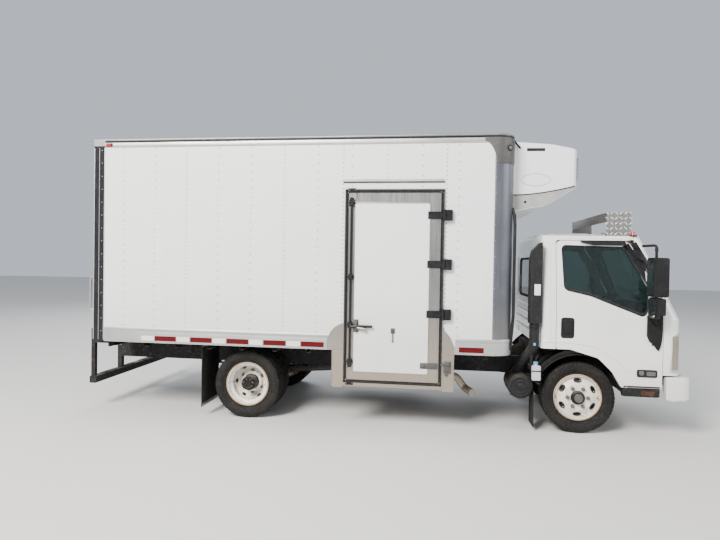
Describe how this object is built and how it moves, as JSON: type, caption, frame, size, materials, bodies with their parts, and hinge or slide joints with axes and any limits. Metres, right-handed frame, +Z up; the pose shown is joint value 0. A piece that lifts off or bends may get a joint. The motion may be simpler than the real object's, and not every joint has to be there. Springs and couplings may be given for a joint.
{
  "type": "refrigerated truck",
  "caption": "Cab-over truck with an insulated box body, a roll-up rear door, a curb side door in a drop well and a nose-mounted cooling unit.",
  "frame": {"origin": "on the ground, at mid length and mid width of the whole truck", "axes": "+X forward, +Y to the truck's left, +Z up"},
  "size_m": [7.03, 2.5675, 3.31],
  "materials": {
    "tyre_rubber": "matte",
    "wheel_cream": "satin",
    "chassis_black": "satin",
    "body_white": "gloss",
    "aluminium_trim": "satin",
    "stainless_trim": "brushed",
    "rear_black": "satin",
    "cab_white": "gloss",
    "window_glass": "gloss",
    "black_plastic": "matte",
    "unit_white": "gloss",
    "lamp_clear": "gloss",
    "seat_fabric": "matte",
    "cab_grey": "matte",
    "tread_plate": "satin",
    "exhaust_steel": "matte",
    "flap_rubber": "matte",
    "cast_iron": "matte",
    "mirror_black": "matte",
    "floor_metal": "satin"
  },
  "bodies": {
    "chassis": {"frame_rails": "chassis_black", "frame_crossmembers": "chassis_black", "front_axle": "cast_iron", "rear_axle": "cast_iron", "leaf_springs": "chassis_black", "engine_block": "cast_iron", "driveline": "cast_iron", "fuel_tank": "chassis_black", "battery_box": "black_plastic", "exhaust": "exhaust_steel", "air_intake": "black_plastic", "front_bumper": "cab_white", "rear_guard": "rear_black", "mudflaps": "flap_rubber", "body_sills": "chassis_black", "cargo_floor": "floor_metal", "cargo_side_right": "body_white", "cargo_side_left": "body_white", "cargo_front_wall": "aluminium_trim", "cargo_roof": "aluminium_trim", "rear_frame": "rear_black", "rear_door": "body_white", "side_door_frame": "stainless_trim", "body_hinges": "rear_black", "refrigeration_unit": "unit_white"},
    "side_door": {"side_door": "body_white", "side_door_hinges": "rear_black", "side_door_latch": "stainless_trim"},
    "cab": {"cab_floor": "cab_grey", "cab_back_wall": "cab_white", "cab_roof": "cab_white", "cab_front": "cab_white", "cab_glass": "window_glass", "headlamps": "lamp_clear", "seats": "seat_fabric", "dashboard": "cab_grey", "steering_wheel": "black_plastic", "roof_tray": "tread_plate", "arch_liners": "black_plastic", "cab_steps": "black_plastic"},
    "cab_door_right": {"cab_door_right": "cab_white", "door_glass_right": "window_glass", "mirror_right": "mirror_black"},
    "cab_door_left": {"cab_door_left": "cab_white", "door_glass_left": "window_glass", "mirror_left": "mirror_black"},
    "knuckle_right": {"knuckle_right": "cast_iron"},
    "knuckle_left": {"knuckle_left": "cast_iron"},
    "front_wheel_right": {"front_wheel_right": "wheel_cream", "front_tyre_right": "tyre_rubber"},
    "front_wheel_left": {"front_wheel_left": "wheel_cream", "front_tyre_left": "tyre_rubber"},
    "rear_wheels_right": {"rear_wheels_right": "wheel_cream", "rear_tyres_right": "tyre_rubber"},
    "rear_wheels_left": {"rear_wheels_left": "wheel_cream", "rear_tyres_left": "tyre_rubber"},
    "tie_rod": {"tie_rod": "cast_iron"}
  },
  "joints": [
    {"name": "cab_tilt", "type": "hinge", "parent": "chassis", "child": "cab", "pos_m": [3.43, 0, 0.69], "axis": [0, 1, 0], "range_deg": [0, 45]},
    {"name": "cab_door_right_hinge", "type": "hinge", "parent": "cab", "child": "cab_door_right", "pos_m": [3.19, -1.026, 1], "axis": [0, 0, 1], "range_deg": [0, 70]},
    {"name": "cab_door_left_hinge", "type": "hinge", "parent": "cab", "child": "cab_door_left", "pos_m": [3.19, 1.026, 1], "axis": [0, 0, -1], "range_deg": [0, 70]},
    {"name": "side_door_hinge", "type": "hinge", "parent": "chassis", "child": "side_door", "pos_m": [0.847, -1.263, 1.868], "axis": [0, 0, 1], "range_deg": [0, 170]},
    {"name": "steer_right", "type": "hinge", "parent": "chassis", "child": "knuckle_right", "pos_m": [2.365, -0.7, 0.4], "axis": [0, 0, 1], "range_deg": [-36, 36]},
    {"name": "steer_left", "type": "hinge", "parent": "chassis", "child": "knuckle_left", "pos_m": [2.365, 0.7, 0.4], "axis": [0, 0, 1], "range_deg": [-36, 36]},
    {"name": "tie_rod_pivot", "type": "hinge", "parent": "knuckle_right", "child": "tie_rod", "pos_m": [2.205, -0.7, 0.314], "axis": [0, 0, 1], "range_deg": [-36, 36]},
    {"name": "front_wheel_right_spin", "type": "hinge", "parent": "knuckle_right", "child": "front_wheel_right", "pos_m": [2.365, -0.8325, 0.4], "axis": [0, 1, 0], "continuous": true},
    {"name": "front_wheel_left_spin", "type": "hinge", "parent": "knuckle_left", "child": "front_wheel_left", "pos_m": [2.365, 0.8325, 0.4], "axis": [0, 1, 0], "continuous": true},
    {"name": "rear_wheels_right_spin", "type": "hinge", "parent": "chassis", "child": "rear_wheels_right", "pos_m": [-1.445, -0.825, 0.4], "axis": [0, 1, 0], "continuous": true},
    {"name": "rear_wheels_left_spin", "type": "hinge", "parent": "chassis", "child": "rear_wheels_left", "pos_m": [-1.445, 0.825, 0.4], "axis": [0, 1, 0], "continuous": true}
  ],
  "couplings": [
    {"joint": "steer_left", "follows": "steer_right", "ratio": 1},
    {"joint": "tie_rod_pivot", "follows": "steer_right", "ratio": -1}
  ]
}
